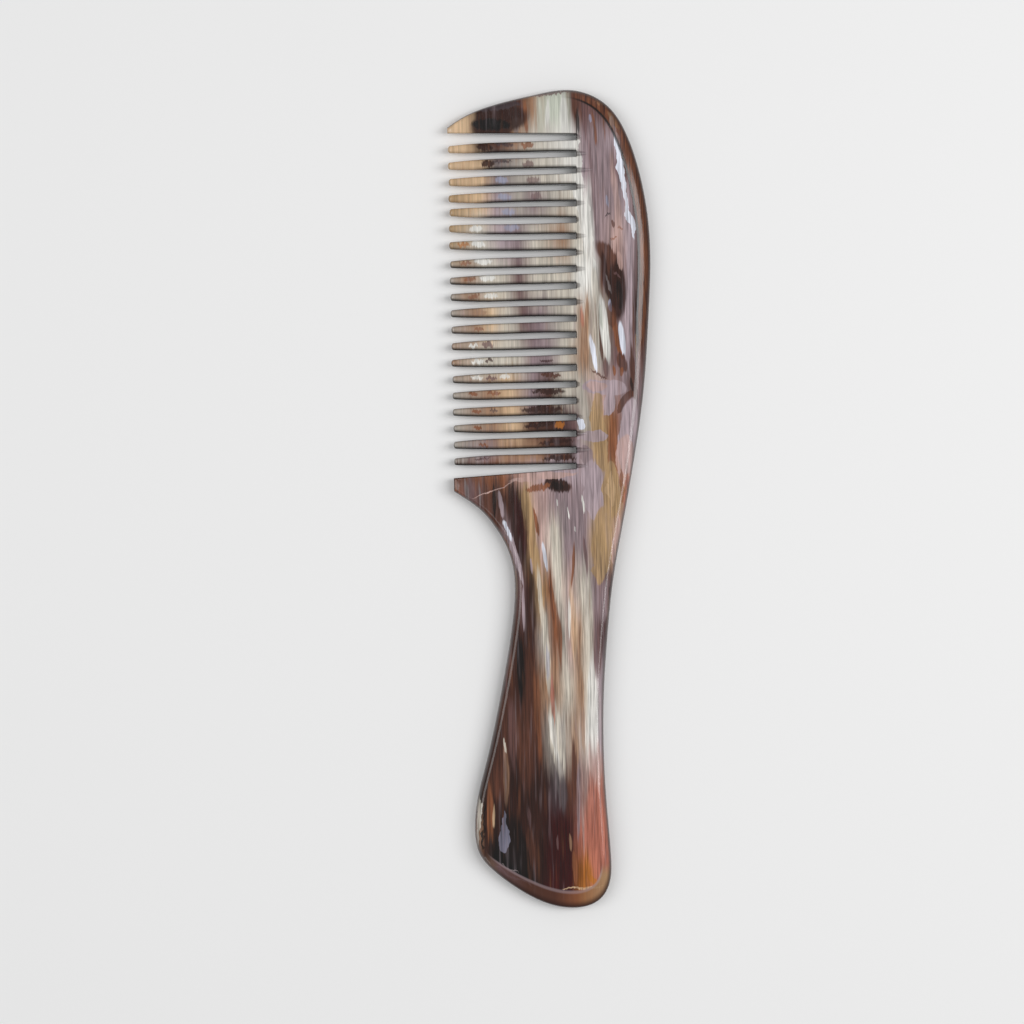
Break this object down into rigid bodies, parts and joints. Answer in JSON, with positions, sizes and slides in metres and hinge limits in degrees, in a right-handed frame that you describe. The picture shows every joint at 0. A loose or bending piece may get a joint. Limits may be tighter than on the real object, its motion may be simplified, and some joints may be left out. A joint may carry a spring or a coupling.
{
  "type": "hair comb",
  "caption": "Flat hair comb with a waisted handle, a curved spine, a row of tapered teeth and a broad guard tooth at each end, polished horn.",
  "frame": {"origin": "centre of the comb's footprint on the plane its back face rests on", "axes": "+Z out of the front face, +Y along the comb from the handle's butt to the head, teeth pointing towards -X"},
  "size_m": [0.0492, 0.2, 0.0055],
  "materials": {
    "horn": "polished horn, streaked dark brown, cream, lilac grey and amber along its grain"
  },
  "bodies": {
    "root": {"handle": "horn", "spine": "horn", "head_guard": "horn", "heel_guard": "horn", "tooth_01": "horn", "tooth_02": "horn", "tooth_03": "horn", "tooth_04": "horn", "tooth_05": "horn", "tooth_06": "horn", "tooth_07": "horn", "tooth_08": "horn", "tooth_09": "horn", "tooth_10": "horn", "tooth_11": "horn", "tooth_12": "horn", "tooth_13": "horn", "tooth_14": "horn", "tooth_15": "horn", "tooth_16": "horn", "tooth_17": "horn", "tooth_18": "horn", "tooth_19": "horn", "tooth_20": "horn"}
  },
  "joints": []
}
